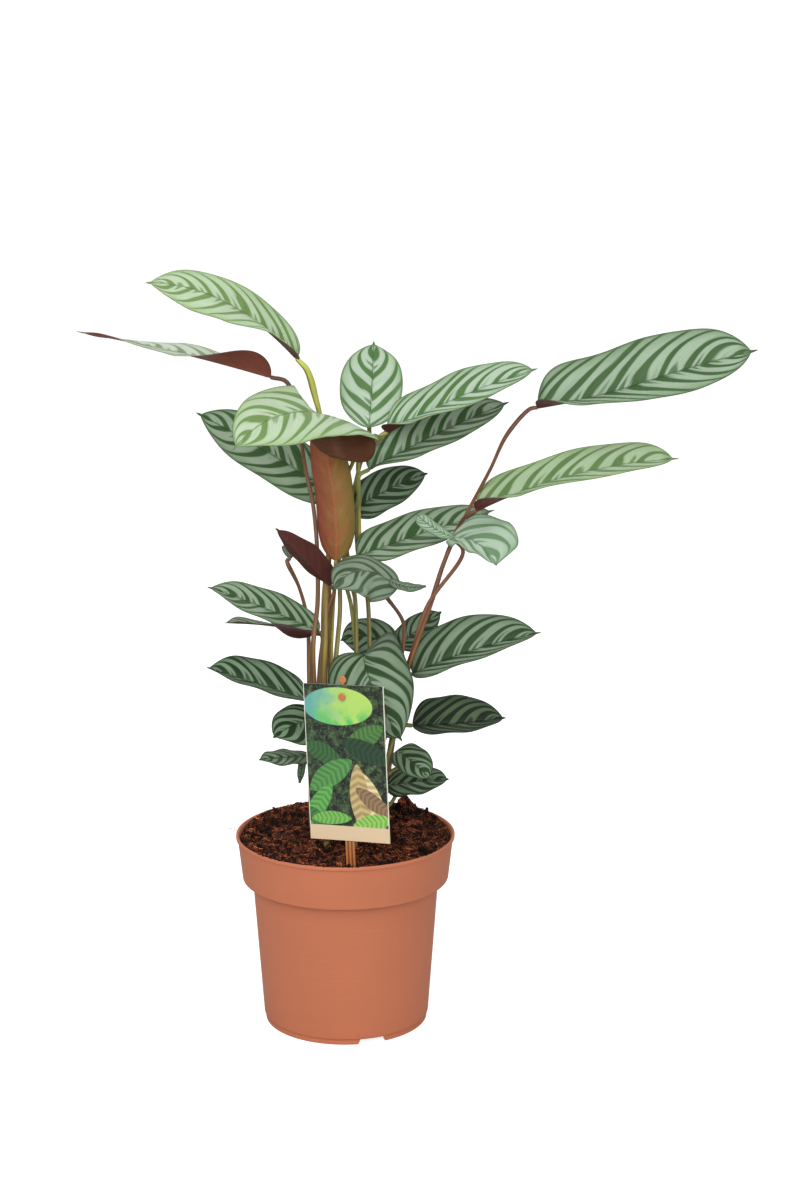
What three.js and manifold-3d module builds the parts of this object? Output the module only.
// A potted prayer plant: a nursery pot, its soil, thirteen leafy shoots, their
// patterned leaves, and a care card on a stake. Millimetres, +Z up. The pot's
// axis is x = y = 0, its foot stands on z = 0, and the plant is seen from -Y.
import * as THREE from 'three';
import { mergeVertices } from 'three/addons/utils/BufferGeometryUtils.js';
import Module from 'manifold-3d';

const wasm = await Module();
wasm.setup();

// Driving dimensions of the pot
const POT_HEIGHT = 150;
const RIM_RADIUS = 85;
const LIP_HEIGHT = 2.8;
const COLLAR_TOP_RADIUS = 83.8;
const COLLAR_FOOT_RADIUS = 80.2;
const COLLAR_FOOT_Z = 115;
const BODY_TOP_RADIUS = 72.4;
const BODY_TOP_Z = 114;
const BODY_FOOT_RADIUS = 64.4;
const FOOT_STEP_Z = 4;
const FOOT_RADIUS = 63.4;
const WALL = 1.8;
const FLOOR_UNDERSIDE_Z = 4.5;
const FLOOR_TOP_Z = 6.6;
const FOOT_RING_WIDTH = 2.2;
const FLOOR_MIDDLE_RADIUS = 30;
const FLOOR_SLOPE_RADIUS = 36;
const POT_SIDES = 48;
const NOTCH_COUNT = 3;
const NOTCH_WIDTH = 26;
const NOTCH_HEIGHT = 4.2;
const FIRST_NOTCH_ANGLE = -70.5;
const DRAIN_HOLE_COUNT = 8;
const DRAIN_HOLE_RADIUS = 4;
const DRAIN_HOLE_CIRCLE = 44;

// Driving dimensions of the soil
const CLEARANCE = 0.3;
const ROOT_CLEARANCE = 0.5;
const SOIL_LEVEL = 145.5;
const SOIL_RELIEF = 0.7;
const SOIL_BANK = 5;
const SOIL_GAP = 0.45;
const SOIL_RINGS = 6;
const ROOTED_DEPTH = 26;

// Driving dimensions of the care card and its stake
const CARD_WIDTH = 63.5;
const CARD_HEIGHT = 120;
const CARD_THICKNESS = 0.8;
const CARD_CENTRE = [3, -69, 226];
const CARD_YAW = 20;
const CARD_LEAN = 2.5;
const PEG_RADIUS = 2.2;
const PEG_ABOVE_CENTRE = 51;
const PEG_ASIDE = -1;
const KNOB_RADIUS = 3.2;
const NECK_WIDTH = 2.6;
const KNOB_THICKNESS = 1.4;
const STAKE_WIDTH = 7;
const STAKE_THICKNESS = 1.6;
const STAKE_RIB = 1.2;
const STAKE_GROOVE = 0.35;
const STAKE_ABOVE_CENTRE = 56;
const HEAD_ABOVE_CENTRE = 63.5;
const STAKE_BELOW_CENTRE = 107;

// Driving dimensions of the leaves and petioles
const BLADE_THICKNESS = 0.8;
const BASE_HALF_WIDTH = 1.7;
const TIP_HALF_WIDTH = 0.3;
const DRIP_TIP_START = 0.95;
const DRIP_TIP_HALF_WIDTH = 1.1;
const SEAT_GAP = 0.55;
const PETIOLE_SIDES = 5;
const STEPS_BETWEEN_POINTS = 2;
const CROWN_HEIGHT = 9;
const CROWN_SUNK = 4;
const LOWEST_FORK = 215;

const { degToRad, lerp } = THREE.MathUtils;
const vector = (xyz) => new THREE.Vector3(...xyz);

// Solids, booleans and meshes
function toSolid(geometry) {
  const bare = geometry.index ? geometry.toNonIndexed() : geometry.clone();
  bare.deleteAttribute('normal');
  bare.deleteAttribute('uv');
  const merged = mergeVertices(bare, 1e-4);
  return new wasm.Manifold(new wasm.Mesh({
    numProp: 3,
    vertProperties: new Float32Array(merged.attributes.position.array),
    triVerts: new Uint32Array(merged.index.array),
  }));
}

function toGeometry(solid) {
  const mesh = solid.getMesh();
  const geometry = new THREE.BufferGeometry();
  const positions = new THREE.BufferAttribute(new Float32Array(mesh.vertProperties), 3);
  geometry.setAttribute('position', positions);
  geometry.setIndex(new THREE.BufferAttribute(new Uint32Array(mesh.triVerts), 1));
  return geometry;
}

function indexedGeometry(points, triangles) {
  const geometry = new THREE.BufferGeometry();
  const flat = points.flatMap((p) => [p.x, p.y, p.z]);
  geometry.setAttribute('position', new THREE.Float32BufferAttribute(flat, 3));
  geometry.setIndex(triangles);
  return geometry;
}

function finish(colour, roughness) {
  return new THREE.MeshStandardMaterial({
    color: colour, roughness, metalness: 0, flatShading: true,
  });
}

function namedMesh(name, geometry, material) {
  const mesh = new THREE.Mesh(geometry, material);
  mesh.name = name;
  return mesh;
}

// A value that runs evenly through its keys, from the leaf's base to its tip
function along(keys, t) {
  if (keys.length === 1) return keys[0];
  const place = t * (keys.length - 1);
  const index = Math.min(Math.floor(place), keys.length - 2);
  const share = place - index;
  const [low, high] = [keys[index], keys[index + 1]];
  return Array.isArray(low)
    ? low.map((value, axis) => lerp(value, high[axis], share))
    : lerp(low, high, share);
}

// A leaf blade. base and tip end its midrib, bow pushes the midrib's middle out and
// sway bends it into an S; face is the way its upper side looks, and fold and cup
// are the angles at which its two halves leave the midrib and go on bending. left
// is the half on the left of someone who walks from base to tip on the upper side.
const LEAF_DEFAULTS = {
  bow: [0, 0, 0], sway: [0, 0, 0], face: [[0, -0.7, 0.7]],
  fold: [[6, 6]], cup: [[-12, -12]],
  heel: 3.2, widest: 0.4, blunt: 3, wave: 0.8, waves: 2.5, phase: 0,
  lobe: [0, 0], shear: [0, 0],
  along: 11, across: 4, seat: 'end', pulvinus: 12,
};

function halfWidth(leaf, t, side) {
  if (t >= DRIP_TIP_START) {
    const left = (1 - t) / (1 - DRIP_TIP_START);
    return lerp(TIP_HALF_WIDTH, DRIP_TIP_HALF_WIDTH, left);
  }
  const s = t / DRIP_TIP_START;
  if (s < leaf.widest) {
    const back = (leaf.widest - s) / leaf.widest;
    return Math.max(BASE_HALF_WIDTH, leaf.halves[side] * Math.sqrt(1 - back ** leaf.heel));
  }
  const on = (s - leaf.widest) / (1 - leaf.widest);
  return Math.max(DRIP_TIP_HALF_WIDTH, leaf.halves[side] * (1 - on ** leaf.blunt) ** 0.85);
}

function midribFrame(leaf, t) {
  const base = vector(leaf.base);
  const chord = vector(leaf.tip).sub(base);
  const bow = vector(leaf.bow);
  const sway = vector(leaf.sway);
  const turn = 2 * Math.PI * t;
  const place = base.clone().addScaledVector(chord, t)
    .addScaledVector(bow, 4 * t * (1 - t))
    .addScaledVector(sway, Math.sin(turn));
  const ahead = chord.clone()
    .addScaledVector(bow, 4 - 8 * t)
    .addScaledVector(sway, 2 * Math.PI * Math.cos(turn))
    .normalize();
  const face = vector(along(leaf.face, t));
  const up = face.addScaledVector(ahead, -face.dot(ahead)).normalize();
  const left = new THREE.Vector3().crossVectors(up, ahead);
  return { place, ahead, up, left };
}

// The middle surface of the blade: v runs from -1 at the right margin to 1 at the left
function bladePoint(leaf, t, v) {
  const { place, ahead, up, left } = midribFrame(leaf, t);
  const side = v < 0 ? 1 : 0;
  const out = Math.abs(v);
  const fold = degToRad(along(leaf.fold, t)[side]);
  const cup = degToRad(along(leaf.cup, t)[side]) || 1e-6;
  const reach = (Math.sin(fold + cup * out) - Math.sin(fold)) / cup;
  const rise = (Math.cos(fold) - Math.cos(fold + cup * out)) / cup;
  const half = halfWidth(leaf, t, side);
  const ripple = leaf.wave * out * out
    * Math.sin(2 * Math.PI * leaf.waves * t + leaf.phase + 1.7 * side)
    * Math.min(1, half / 6);
  const forward = leaf.shear[side] * Math.sin(Math.PI * t) - leaf.lobe[side] * half * (1 - t) ** 5;
  return place
    .addScaledVector(left, Math.sign(v) * half * reach)
    .addScaledVector(up, half * rise + ripple)
    .addScaledVector(ahead, forward * out * out);
}

function bladeNormal(leaf, t, v) {
  const step = 1e-3;
  const [t0, t1] = [Math.max(0, t - step), Math.min(1, t + step)];
  const [v0, v1] = [Math.max(-1, v - step), Math.min(1, v + step)];
  const forward = bladePoint(leaf, t1, v).sub(bladePoint(leaf, t0, v));
  const leftward = bladePoint(leaf, t, v1).sub(bladePoint(leaf, t, v0));
  return forward.cross(leftward).normalize();
}

function stations(count) {
  const list = [];
  for (let i = 0; i < count; i += 1) {
    list.push(DRIP_TIP_START * 0.5 * (1 - Math.cos((Math.PI * i) / (count - 1))));
  }
  list.push(1);
  return list;
}

// Two skins of the same triangles, one thickness apart, closed round the margin
function bladeGeometry(leaf) {
  const rows = stations(leaf.along);
  const columns = leaf.across;
  const points = [];
  for (const skin of [0.5, -0.5]) {
    for (const t of rows) {
      for (let j = 0; j <= columns; j += 1) {
        const v = (2 * j) / columns - 1;
        const normal = bladeNormal(leaf, t, v);
        points.push(bladePoint(leaf, t, v).addScaledVector(normal, skin * BLADE_THICKNESS));
      }
    }
  }
  const perSkin = rows.length * (columns + 1);
  const at = (skin, i, j) => skin * perSkin + i * (columns + 1) + j;
  const triangles = [];
  for (let i = 0; i < rows.length - 1; i += 1) {
    for (let j = 0; j < columns; j += 1) {
      const [a, b] = [at(0, i, j), at(0, i + 1, j)];
      const [c, d] = [at(0, i + 1, j + 1), at(0, i, j + 1)];
      triangles.push(a, b, c, a, c, d);
      const [e, f, g, h] = [a, b, c, d].map((corner) => corner + perSkin);
      triangles.push(e, g, f, e, h, g);
    }
  }
  const rim = [];
  for (let i = 0; i < rows.length; i += 1) rim.push([i, 0]);
  for (let j = 1; j <= columns; j += 1) rim.push([rows.length - 1, j]);
  for (let i = rows.length - 2; i >= 0; i -= 1) rim.push([i, columns]);
  for (let j = columns - 1; j > 0; j -= 1) rim.push([0, j]);
  rim.forEach(([i, j], k) => {
    const [ni, nj] = rim[(k + 1) % rim.length];
    const [a, b] = [at(0, i, j), at(0, ni, nj)];
    const [c, d] = [at(1, ni, nj), at(1, i, j)];
    triangles.push(a, c, b, a, d, c);
  });
  return indexedGeometry(points, triangles);
}

function leafSolid(leaf) {
  const blade = toSolid(bladeGeometry(leaf));
  if (!leaf.tail) return blade;
  const tail = { ...LEAF_DEFAULTS, along: 6, across: 2, ...leaf.tail };
  return blade.add(toSolid(bladeGeometry(tail)));
}

// Where a petiole ends below or behind a blade, and the way it arrives there
function seatOf(leaf) {
  const under = leaf.seat === 'under';
  const { place, ahead, up } = midribFrame(leaf, under ? 0.05 : 0);
  const arrive = under ? up : ahead;
  const back = under ? BLADE_THICKNESS / 2 + SEAT_GAP : SEAT_GAP;
  return { end: place.addScaledVector(arrive, -back), arrive };
}

const LEAVES = {
  leaf_top_left: {
    base: [-34, -10, 520], tip: [-139, -60, 580], bow: [2, -7, 15], halves: [23, 19],
    face: [[0, -0.75, 0.65]], fold: [[70, 20], [24, 10], [0, 0]], across: 6,
  },
  leaf_long_left: {
    base: [-54, 0, 505], tip: [-199, 10, 538], bow: [4, -5, 2], halves: [20, 20],
    face: [[0, 0.1, 1], [0, -0.2, 1], [0, 0.35, 1]], fold: [[80, 20], [14, 10], [8, 0]],
    blunt: 1.9,
  },
  leaf_dark_left: {
    base: [-5, 34, 409], tip: [-112, 24, 475], bow: [0, 4, 1], halves: [22, 22],
    face: [[0, -0.79, 0.62]], fold: [[10, 15]], blunt: 3.4, across: 6, seat: 'under',
  },
  leaf_arched_front: {
    base: [23, -4, 462], tip: [-76, -95, 465], bow: [-6, -6, 23], halves: [28, 29],
    face: [[0, -0.6, 0.8], [0, -0.75, 0.65]],
    fold: [
      [25, -100], [25, -105], [24, -108], [16, -20], [8, 5], [1, 5],
      [-6, 5], [-6, 5], [-6, 3], [-5, 0], [-5, 0],
    ],
    heel: 3, lobe: [0, 0.2], across: 6, pulvinus: 7,
  },
  leaf_upright: {
    base: [19, 14, 465], tip: [22, 88, 522], bow: [0, 6, -3], halves: [26, 26],
    face: [[0, -1, 0.3]], fold: [[8, 8]], heel: 2, widest: 0.5, across: 6,
    seat: 'under',
  },
  leaf_crown_right: {
    base: [33, 10, 462], tip: [143, -30, 515], bow: [-2, -1, 3], halves: [26, 21],
    face: [[0, -0.5, 0.87]], fold: [[20, 40], [18, 17], [16, 5]], heel: 7, across: 6, pulvinus: 8,
  },
  leaf_under_right: {
    base: [19, 8, 434], tip: [125, 25, 483], bow: [-2, 2, 1], halves: [23, 20],
    face: [[0, -0.7, 0.7]], fold: [[14, 42], [13, 30], [10, 12]], pulvinus: 8,
  },
  leaf_small_inner: {
    base: [4, 40, 395], tip: [64, 52, 424], bow: [-2, 2, 2], halves: [18, 16],
    face: [[0, -0.8, 0.6]], fold: [[8, 8]], pulvinus: 6,
  },
  leaf_wine_back: {
    base: [-10, -15, 349], tip: [-49, -50, 400], bow: [1, -4, 0], halves: [13, 15],
    face: [[0.2, 1, 0.3]], fold: [[35, 40]], cup: [[-5, -5]], heel: 2.4, blunt: 2, pulvinus: 6,
  },
  leaf_mid_right: {
    base: [10, 10, 367], tip: [115, 30, 399], bow: [-4, 2, -1], halves: [23, 21],
    face: [[0, -0.56, 0.83]], fold: [[10, 22]], across: 6,
  },
  leaf_curled_right: {
    base: [80, -10, 384], tip: [113, -60, 374], bow: [1, -3, 9], halves: [27, 11],
    face: [[0, -0.7, 0.72]], fold: [[10, 10]], shear: [14, 0], wave: 2, seat: 'under',
    tail: {
      base: [83, -15, 386], tip: [55, 0, 401], bow: [0, 0, -2], halves: [6, 5],
      face: [[0, -0.8, 0.6]], heel: 1.5, widest: 0.75, blunt: 5,
    },
  },
  leaf_curled_front: {
    base: [41, -30, 351], tip: [-7, -50, 353], bow: [-3, 0, 14], halves: [23, 21],
    face: [[0, -0.63, 0.78]], fold: [[-11, -11]], wave: 1.5, seat: 'under',
    tail: { base: [34, -32, 357], tip: [62, -38, 354], bow: [0, 0, -3], halves: [4, 4] },
  },
  leaf_mid_left: {
    base: [-20, 16, 306], tip: [-104, 0, 345], bow: [0, 2, 1], halves: [17, 18],
    face: [[0, -0.5, 0.87]], fold: [[18, 19]], pulvinus: 6,
  },
  leaf_edge_left: {
    base: [-22, 2, 308], tip: [-88, -52, 329], bow: [0, -2, 3], halves: [15, 15],
    face: [[0, 0, 1]], fold: [[10, -60], [15, 0], [17, 17], [17, 17]], pulvinus: 6,
  },
  leaf_low_left: {
    base: [-29, -20, 262], tip: [-103, -32, 290], bow: [-2, -1, 1], halves: [16, 21],
    face: [[0, -0.5, 0.87]], fold: [[36, 23]],
  },
  leaf_behind_card: {
    base: [-18, -25, 247], tip: [-52, -60, 243], bow: [0, 0, 4], halves: [21, 17],
    face: [[0, -0.75, 0.65]],
  },
  leaf_lowest_left: {
    base: [-25, -25, 219], tip: [-63, -60, 226], bow: [0, -2, 1], halves: [11, 11],
    face: [[0, -0.4, 0.9]],
    tail: { base: [-31, -31, 221], tip: [-34, -31, 199], halves: [3, 3], face: [[0, -1, 0]] },
  },
  leaf_heart_front: {
    base: [15, -28, 299], tip: [44, -52, 238], bow: [-6, -14, 9], halves: [32, 32],
    face: [[0, -1, 0.3]], fold: [[-8, -8]], cup: [[-16, -16]], lobe: [2.3, 1],
    across: 6, seat: 'under',
  },
  leaf_heart_behind: {
    base: [36, 26, 291], tip: [-4, 34, 295], bow: [0, 2, 6], halves: [17, 16],
    face: [[0, -0.8, 0.6]], pulvinus: 8,
  },
  leaf_tucked_right: {
    base: [41, 36, 289], tip: [75, 48, 315], bow: [-2, 0, 0], halves: [12, 12],
    face: [[0, -0.8, 0.6]],
  },
  leaf_broad_right: {
    base: [52, 4, 276], tip: [150, -2, 310], bow: [-5, -1, 2], halves: [30, 22],
    face: [[0, -0.57, 0.82]], fold: [[20, 34]], across: 6,
  },
  leaf_low_right: {
    base: [52, -4, 237], tip: [124, 0, 242], bow: [-1, -1, -1], halves: [24, 18],
    face: [[0, -0.53, 0.85]], fold: [[24, 30]], pulvinus: 8,
  },
  leaf_small_low_right: {
    base: [40, -14, 220], tip: [65, -40, 205], bow: [0, -1, 2], halves: [14, 12],
    face: [[0, -0.7, 0.7]], seat: 'under',
  },
  leaf_lowest_right: {
    base: [32, -2, 188], tip: [80, -14, 197], bow: [0, 0, 1], halves: [15, 14],
    face: [[0, -0.55, 0.83]], fold: [[9, 9]], seat: 'under',
  },
  leaf_high_right: {
    base: [144, -20, 485], tip: [299, -60, 532], bow: [1, -2, -1], sway: [0, 0, -1.5],
    halves: [32, 25], face: [[0, -0.6, 0.8], [0, -0.65, 0.77], [0, -0.7, 0.7]],
    fold: [[28, 42], [32, 22], [18, 0]], heel: 5, blunt: 4, widest: 0.45, across: 6,
  },
  leaf_reaching_right: {
    base: [100, -10, 406], tip: [247, -40, 450], bow: [-2, -1, 8], halves: [24, 21],
    face: [[0, -0.4, 0.91]], fold: [[24, 40], [22, 24], [20, 16]], heel: 4, blunt: 5, across: 6,
    pulvinus: 7,
  },
  leaf_rolled: {
    base: [-6, -8, 367], tip: [-26, 8, 486], bow: [6, -6, 6], halves: [24, 24],
    face: [[0, 1, 0.1]], fold: [[15, 15]], cup: [[70, 70]], heel: 5, across: 6,
  },
  leaf_back_left: {
    base: [-43, 34, 360], tip: [-29, 112, 345], bow: [0, 0, 5], halves: [12, 12],
    face: [[0, 0, 1]], fold: [[40, 40]], pulvinus: 8,
  },
};

for (const name of Object.keys(LEAVES)) LEAVES[name] = { ...LEAF_DEFAULTS, ...LEAVES[name] };

// A round stem along smooth points. girths are [share of the length, radius] keys.
function stemSolid(points, girths) {
  const curve = new THREE.CatmullRomCurve3(points, false, 'centripetal');
  const steps = Math.max(4, (points.length - 1) * STEPS_BETWEEN_POINTS);
  const frames = curve.computeFrenetFrames(steps, false);
  const ring = [];
  for (let i = 0; i <= steps; i += 1) {
    const share = i / steps;
    const radius = girthAt(girths, share);
    const centre = curve.getPointAt(share);
    for (let k = 0; k < PETIOLE_SIDES; k += 1) {
      const angle = (2 * Math.PI * k) / PETIOLE_SIDES;
      ring.push(centre.clone()
        .addScaledVector(frames.normals[i], radius * Math.cos(angle))
        .addScaledVector(frames.binormals[i], radius * Math.sin(angle)));
    }
  }
  const triangles = [];
  for (let i = 0; i < steps; i += 1) {
    for (let k = 0; k < PETIOLE_SIDES; k += 1) {
      const a = i * PETIOLE_SIDES + k;
      const b = i * PETIOLE_SIDES + ((k + 1) % PETIOLE_SIDES);
      const [c, d] = [b + PETIOLE_SIDES, a + PETIOLE_SIDES];
      triangles.push(a, b, c, a, c, d);
    }
  }
  const last = steps * PETIOLE_SIDES;
  for (let k = 1; k < PETIOLE_SIDES - 1; k += 1) {
    triangles.push(0, k + 1, k, last, last + k, last + k + 1);
  }
  return toSolid(indexedGeometry(ring, triangles));
}

function girthAt(girths, share) {
  for (let i = 1; i < girths.length; i += 1) {
    const [from, r0] = girths[i - 1];
    const [to, r1] = girths[i];
    if (share <= to) return lerp(r0, r1, (share - from) / (to - from));
  }
  return girths[girths.length - 1][1];
}

// A petiole runs through its points and ends square against its leaf's seat
function petioleSolid(points, leafName, girths) {
  const { end, arrive } = seatOf(LEAVES[leafName]);
  const before = end.clone().addScaledVector(arrive, -LEAVES[leafName].pulvinus);
  return stemSolid([...points.map(vector), before, end], girths);
}

// Each shoot rises from its root point through its own sheath, and carries the
// petioles named under leaves, each by the points between the root and the leaf.
const PETIOLE_GIRTH = [[0, 2], [0.35, 1.5], [0.85, 1.3], [0.92, 1.7], [1, 1.5]];
const SIDE_GIRTH = [[0, 1.4], [0.6, 1.2], [0.8, 1.5], [1, 1.4]];
const SHOOTS = {
  shoot_back_left: {
    root: [-26, 12], sheath: 2.4,
    leaves: {
      leaf_back_left: [[-27, 10, 200], [-28, 18, 270], [-30, 37, 312], [-36, 34, 338]],
    },
  },
  shoot_left: {
    root: [-20, -4], sheath: 2.9,
    leaves: {
      leaf_long_left: [[-21, -8, 210], [-23, -15, 272], [-23, -24, 306], [-20, -12, 334],
        [-20, -2, 360], [-21, 2, 385], [-24, 7, 411], [-29, 12, 433], [-33, 12, 460]],
      leaf_edge_left: [[-22, -12, 240], [-19, 1, 285]],
      leaf_mid_left: [[-21, -10, 225], [-18, 10, 280]],
    },
  },
  shoot_cane: {
    root: [-11, 4], sheath: 3.2, girth: [[0, 3.2], [0.5, 3], [0.62, 1.8], [1, 1.5]],
    leaves: {
      leaf_top_left: [[-14, 0, 210], [-16, -6, 271], [-15, -8, 306], [-14, -8, 340],
        [-12, 4, 365], [-9, 13, 410], [-14, 17, 455], [-21, 10, 488]],
      leaf_wine_back: [[-15, -8, 306], [-12, -10, 330]],
    },
  },
  shoot_dark: {
    root: [-12, 18], sheath: 2.4,
    leaves: {
      leaf_rolled: [[-12, 14, 200], [-11, 5, 269], [-10, 1, 303], [-8, -3, 336]],
      leaf_dark_left: [[-12, 10, 240], [-12, 24, 330], [-13, 38, 378]],
    },
  },
  shoot_olive: {
    root: [-4, -8], sheath: 2.5,
    leaves: {
      leaf_arched_front: [[-6, -8, 210], [-8, -9, 272], [-5, -12, 306], [-3, -12, 330],
        [-4, 2, 364], [-5, 5, 388], [-4, 9, 403], [-2, 17, 418], [4, 17, 432], [12, 4, 448]],
    },
  },
  shoot_middle: {
    root: [4, 6], sheath: 2.4,
    leaves: {
      leaf_upright: [[8, 5, 210], [10, 4, 269], [9, 2, 295], [8, 1, 337], [3, 12, 362],
        [1, 22, 390], [8, 25, 420], [15, 28, 445]],
      leaf_mid_right: [[9, 2, 295], [5, 4, 330]],
      leaf_small_inner: [[8, 1, 337], [-1, 26, 368]],
    },
  },
  shoot_right_up: {
    root: [10, 20], sheath: 2.4,
    leaves: {
      leaf_under_right: [[16, 18, 210], [19, 16, 266], [19, 16, 292], [17, 20, 335],
        [10, 26, 366], [9, 22, 390], [11, 15, 412]],
      leaf_crown_right: [[17, 20, 335], [12, 29, 366], [11, 28, 392], [11, 20, 420],
        [12, 14, 444]],
    },
  },
  shoot_curled_front: {
    root: [14, -4], sheath: 2.2,
    leaves: {
      leaf_curled_front: [[20, -6, 180], [36, -10, 255], [43, -12, 290], [45, -14, 320]],
    },
  },
  shoot_bundle: {
    root: [27, 14], sheath: 3,
    leaves: {
      leaf_high_right: [[34, 12, 205], [42, 3, 255], [50, -3, 288], [65, -4, 331],
        [75, 0, 362], [85, 5, 385], [96, 4, 407], [110, -8, 437], [122, -14, 464]],
      leaf_reaching_right: [[42, 4, 255], [51, 0, 288], [67, -2, 335], [78, 3, 370],
        [87, 4, 391]],
      leaf_curled_right: [[50, -3, 288], [63, -5, 331]],
    },
  },
  shoot_broad_right: {
    root: [17, 8], sheath: 2.6,
    leaves: {
      leaf_broad_right: [[25, 14, 200], [35, 14, 250]],
      leaf_tucked_right: [[25, 14, 200], [32, 25, 250]],
      leaf_heart_behind: [[25, 14, 200], [40, 22, 258]],
    },
  },
  shoot_low_right: {
    root: [20, -14], sheath: 2.4,
    leaves: {
      leaf_low_right: [[22, -16, 175], [31, -12, 205], [38, -3, 228]],
      leaf_small_low_right: [[22, -16, 175], [30, -12, 198]],
      leaf_lowest_right: [[26, -9, 164]],
    },
  },
  shoot_heart: {
    root: [8, -20], sheath: 2.2,
    leaves: {
      leaf_heart_front: [[8, -18, 210], [12, -14, 270]],
    },
  },
  shoot_low_left: {
    root: [-14, -20], sheath: 2.6,
    leaves: {
      leaf_low_left: [[-15, -20, 180], [-18, -18, 230]],
      leaf_behind_card: [[-15, -20, 180], [-13, -20, 225]],
      leaf_lowest_left: [[-14, -20, 165], [-17, -20, 195]],
    },
  },
};
const ROOT_Z = SOIL_LEVEL - ROOTED_DEPTH;
const CROWN_Z = SOIL_LEVEL + CROWN_HEIGHT;

function shootSolid(shoot) {
  const [x, y] = shoot.root;
  const crown = [[x, y, ROOT_Z], [x, y, CROWN_Z]].map(vector);
  let solid = stemSolid(crown, [[0, shoot.sheath], [1, shoot.sheath]]);
  Object.entries(shoot.leaves).forEach(([leafName, points], order) => {
    const girths = order === 0 ? shoot.girth ?? PETIOLE_GIRTH : SIDE_GIRTH;
    const fromCrown = points[0][2] < LOWEST_FORK;
    const first = fromCrown ? [[x, y, CROWN_Z - CROWN_SUNK]] : [];
    solid = solid.add(petioleSolid([...first, ...points], leafName, girths));
  });
  return solid;
}

// The pot: a wall that steps out into a collar and a lip, on a notched foot ring, with
// a floor whose middle also stands on the ground and whose channel has the drain holes
function potSolid() {
  const profile = [
    [0, 0], [FLOOR_MIDDLE_RADIUS, 0], [FLOOR_SLOPE_RADIUS, FLOOR_UNDERSIDE_Z],
    [FOOT_RADIUS - FOOT_RING_WIDTH, FLOOR_UNDERSIDE_Z],
    [FOOT_RADIUS - FOOT_RING_WIDTH, 0], [FOOT_RADIUS, 0], [FOOT_RADIUS, FOOT_STEP_Z],
    [BODY_FOOT_RADIUS, FOOT_STEP_Z], [BODY_TOP_RADIUS, BODY_TOP_Z],
    [COLLAR_FOOT_RADIUS, COLLAR_FOOT_Z],
    [COLLAR_TOP_RADIUS, POT_HEIGHT - LIP_HEIGHT], [RIM_RADIUS, POT_HEIGHT - LIP_HEIGHT],
    [RIM_RADIUS, POT_HEIGHT], [RIM_RADIUS - WALL, POT_HEIGHT],
    ...insideWall(0).reverse(), [0, FLOOR_TOP_Z - FLOOR_UNDERSIDE_Z],
  ];
  const drain = new THREE.CylinderGeometry(DRAIN_HOLE_RADIUS, DRAIN_HOLE_RADIUS, 4 * WALL, 10);
  drain.rotateX(Math.PI / 2);
  const notch = new THREE.BoxGeometry(6 * FOOT_RING_WIDTH, NOTCH_WIDTH, 2 * NOTCH_HEIGHT);
  let solid = latheSolid(profile);
  for (let i = 0; i < DRAIN_HOLE_COUNT; i += 1) {
    const angle = (2 * Math.PI * i) / DRAIN_HOLE_COUNT;
    solid = solid.subtract(toSolid(drain.clone()
      .translate(DRAIN_HOLE_CIRCLE, 0, FLOOR_TOP_Z).rotateZ(angle)));
  }
  for (let i = 0; i < NOTCH_COUNT; i += 1) {
    const angle = degToRad(FIRST_NOTCH_ANGLE + (360 * i) / NOTCH_COUNT);
    solid = solid.subtract(toSolid(notch.clone().translate(FOOT_RADIUS, 0, 0).rotateZ(angle)));
  }
  return solid;
}

// The inner face from the floor's middle up, or the soil's side at a gap inside it
function insideWall(gap) {
  return [
    [FLOOR_MIDDLE_RADIUS - gap, FLOOR_TOP_Z - FLOOR_UNDERSIDE_Z + gap],
    [FLOOR_SLOPE_RADIUS - gap, FLOOR_TOP_Z + gap],
    [BODY_FOOT_RADIUS - WALL - gap, FLOOR_TOP_Z + gap],
    [BODY_TOP_RADIUS - WALL - gap, BODY_TOP_Z + WALL + gap],
    [COLLAR_FOOT_RADIUS - WALL - gap, COLLAR_FOOT_Z + WALL + gap],
    [COLLAR_TOP_RADIUS - WALL - gap, POT_HEIGHT - LIP_HEIGHT],
  ];
}

function latheSolid(profile) {
  const points = profile.map(([radius, z]) => new THREE.Vector2(radius, z));
  return toSolid(new THREE.LatheGeometry(points, POT_SIDES).rotateX(Math.PI / 2));
}

// The soil's surface: uneven, and banked up towards the far side
function soilTop(x, y) {
  const bank = SOIL_BANK * THREE.MathUtils.smoothstep(y, 0, 0.8 * RIM_RADIUS);
  const lumps = Math.sin(0.11 * x + 1) * Math.cos(0.13 * y) + 0.6 * Math.sin(0.23 * x - 0.19 * y);
  return SOIL_LEVEL + bank + SOIL_RELIEF * lumps;
}

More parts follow.
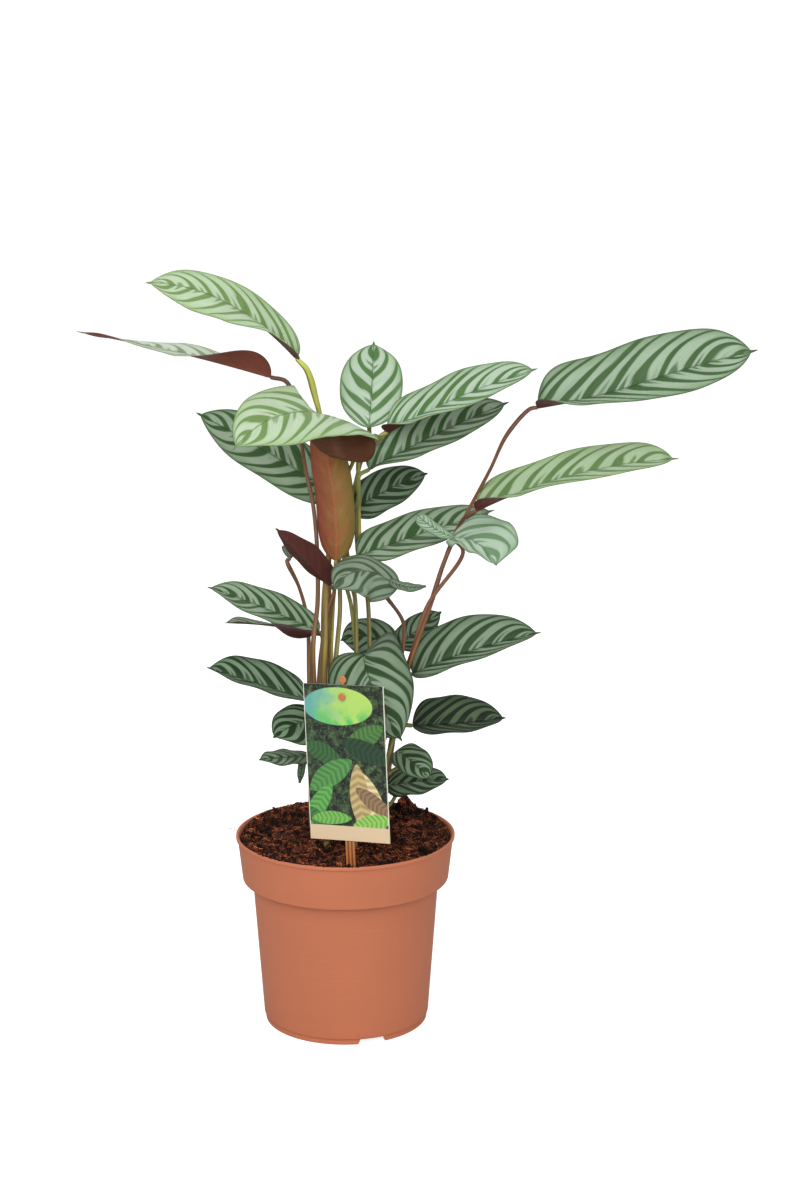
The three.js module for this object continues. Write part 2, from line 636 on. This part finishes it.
function soilSolid(shoots) {
  const side = insideWall(SOIL_GAP).slice(0, -1);
  const points = [new THREE.Vector3(0, 0, side[0][1])];
  const rings = [];
  const addRing = (radius, height) => {
    const ring = [];
    for (let k = 0; k < POT_SIDES; k += 1) {
      const angle = (2 * Math.PI * k) / POT_SIDES;
      const [x, y] = [radius * Math.sin(angle), -radius * Math.cos(angle)];
      ring.push(points.push(new THREE.Vector3(x, y, height ?? soilTop(x, y))) - 1);
    }
    rings.push(ring);
  };
  side.forEach(([radius, z]) => addRing(radius, z));
  const outermost = COLLAR_TOP_RADIUS - WALL - 1.6 * SOIL_GAP;
  for (let i = SOIL_RINGS; i > 0; i -= 1) addRing((outermost * i) / SOIL_RINGS);
  const middle = points.push(new THREE.Vector3(0, 0, soilTop(0, 0))) - 1;
  const triangles = [];
  for (let k = 0; k < POT_SIDES; k += 1) {
    const next = (k + 1) % POT_SIDES;
    triangles.push(0, rings[0][next], rings[0][k]);
    for (let i = 1; i < rings.length; i += 1) {
      const [a, b, c, d] = [rings[i - 1][k], rings[i - 1][next], rings[i][next], rings[i][k]];
      triangles.push(a, b, c, a, c, d);
    }
    triangles.push(rings[rings.length - 1][k], rings[rings.length - 1][next], middle);
  }
  let solid = toSolid(indexedGeometry(points, triangles));
  for (const { root: [x, y], sheath } of shoots) {
    const radius = sheath + ROOT_CLEARANCE;
    const depth = 2 * (ROOTED_DEPTH + ROOT_CLEARANCE);
    const hole = new THREE.CylinderGeometry(radius, radius, depth, 10);
    hole.rotateX(Math.PI / 2).translate(x, y, SOIL_LEVEL);
    solid = solid.subtract(toSolid(hole));
  }
  const slot = new THREE.BoxGeometry(
    STAKE_WIDTH + 2 * CLEARANCE,
    STAKE_THICKNESS + 2 * CLEARANCE,
    2 * (STAKE_BELOW_CENTRE + CLEARANCE),
  );
  return solid.subtract(toSolid(slot.translate(PEG_ASIDE, STAKE_BEHIND, 0).applyMatrix4(TAG_PLACE)));
}

// The care card, and the stake that holds it by a peg through its hole
const TAG_PLACE = new THREE.Matrix4()
  .makeTranslation(...CARD_CENTRE)
  .multiply(new THREE.Matrix4().makeRotationZ(degToRad(-CARD_YAW)))
  .multiply(new THREE.Matrix4().makeRotationY(degToRad(-CARD_LEAN)));
const STAKE_BEHIND = CARD_THICKNESS / 2 + CLEARANCE + STAKE_THICKNESS / 2;

function cardSolid() {
  const [right, top] = [CARD_WIDTH / 2, CARD_HEIGHT / 2];
  const outline = new THREE.Shape([
    [-right, -top], [right, -top], [right, top], [-right, top],
  ].map(([x, z]) => new THREE.Vector2(x, z)));
  const hole = new THREE.Path();
  hole.absarc(PEG_ASIDE, PEG_ABOVE_CENTRE, PEG_RADIUS + CLEARANCE, 0, 2 * Math.PI, true);
  outline.holes.push(hole);
  const options = { depth: CARD_THICKNESS, bevelEnabled: false, curveSegments: 8 };
  return toSolid(new THREE.ExtrudeGeometry(outline, options)
    .rotateX(Math.PI / 2).translate(0, CARD_THICKNESS / 2, 0).applyMatrix4(TAG_PLACE));
}

// The stake has an edge rib, a web, a middle rib, a web and an edge rib across it
function stakeSolid() {
  const [edge, rib] = [STAKE_WIDTH / 2, STAKE_THICKNESS / 2];
  const web = rib - STAKE_GROOVE;
  const front = [
    [-edge, rib], [-edge + STAKE_RIB, rib], [-edge + STAKE_RIB, web], [-STAKE_RIB / 2, web],
    [-STAKE_RIB / 2, rib], [STAKE_RIB / 2, rib], [STAKE_RIB / 2, web], [edge - STAKE_RIB, web],
    [edge - STAKE_RIB, rib], [edge, rib],
  ];
  const back = front.map(([x, y]) => [-x, -y]);
  const section = new THREE.Shape([...front, ...back].map(([x, y]) => new THREE.Vector2(x, y)));
  const depth = STAKE_ABOVE_CENTRE + STAKE_BELOW_CENTRE;
  const bar = new THREE.ExtrudeGeometry(section, { depth, bevelEnabled: false })
    .translate(0, 0, -STAKE_BELOW_CENTRE);
  const pegLength = STAKE_BEHIND + CARD_THICKNESS / 2 + CLEARANCE + KNOB_THICKNESS / 2;
  const peg = new THREE.CylinderGeometry(PEG_RADIUS, PEG_RADIUS, pegLength, 10)
    .translate(0, -pegLength / 2, PEG_ABOVE_CENTRE);
  const knob = new THREE.CylinderGeometry(KNOB_RADIUS, KNOB_RADIUS, KNOB_THICKNESS, 12)
    .translate(0, -pegLength, PEG_ABOVE_CENTRE);
  const head = new THREE.CylinderGeometry(KNOB_RADIUS, KNOB_RADIUS, STAKE_THICKNESS, 12)
    .translate(0, 0, HEAD_ABOVE_CENTRE);
  const neckLength = HEAD_ABOVE_CENTRE - PEG_ABOVE_CENTRE;
  const neck = new THREE.BoxGeometry(NECK_WIDTH, STAKE_THICKNESS, neckLength)
    .translate(0, 0, HEAD_ABOVE_CENTRE - neckLength / 2);
  return [bar, peg, knob, neck, head]
    .map((geometry) => geometry.translate(PEG_ASIDE, STAKE_BEHIND, 0).applyMatrix4(TAG_PLACE))
    .map(toSolid)
    .reduce((solid, next) => solid.add(next));
}

const group = new THREE.Group();
const green = finish(0x4f7a45, 0.5);
const petiole = finish(0x7d6436, 0.5);
group.add(namedMesh('pot', toGeometry(potSolid()), finish(0xbe7052, 0.6)));
group.add(namedMesh('soil', toGeometry(soilSolid(Object.values(SHOOTS))), finish(0x35190f, 1)));
group.add(namedMesh('tag_card', toGeometry(cardSolid()), finish(0x4c6b3c, 0.5)));
group.add(namedMesh('tag_stake', toGeometry(stakeSolid()), finish(0xb07030, 0.4)));
for (const [name, shoot] of Object.entries(SHOOTS)) {
  group.add(namedMesh(name, toGeometry(shootSolid(shoot)), petiole));
}
for (const [name, leaf] of Object.entries(LEAVES)) {
  group.add(namedMesh(name, toGeometry(leafSolid(leaf)), green));
}

export default group;
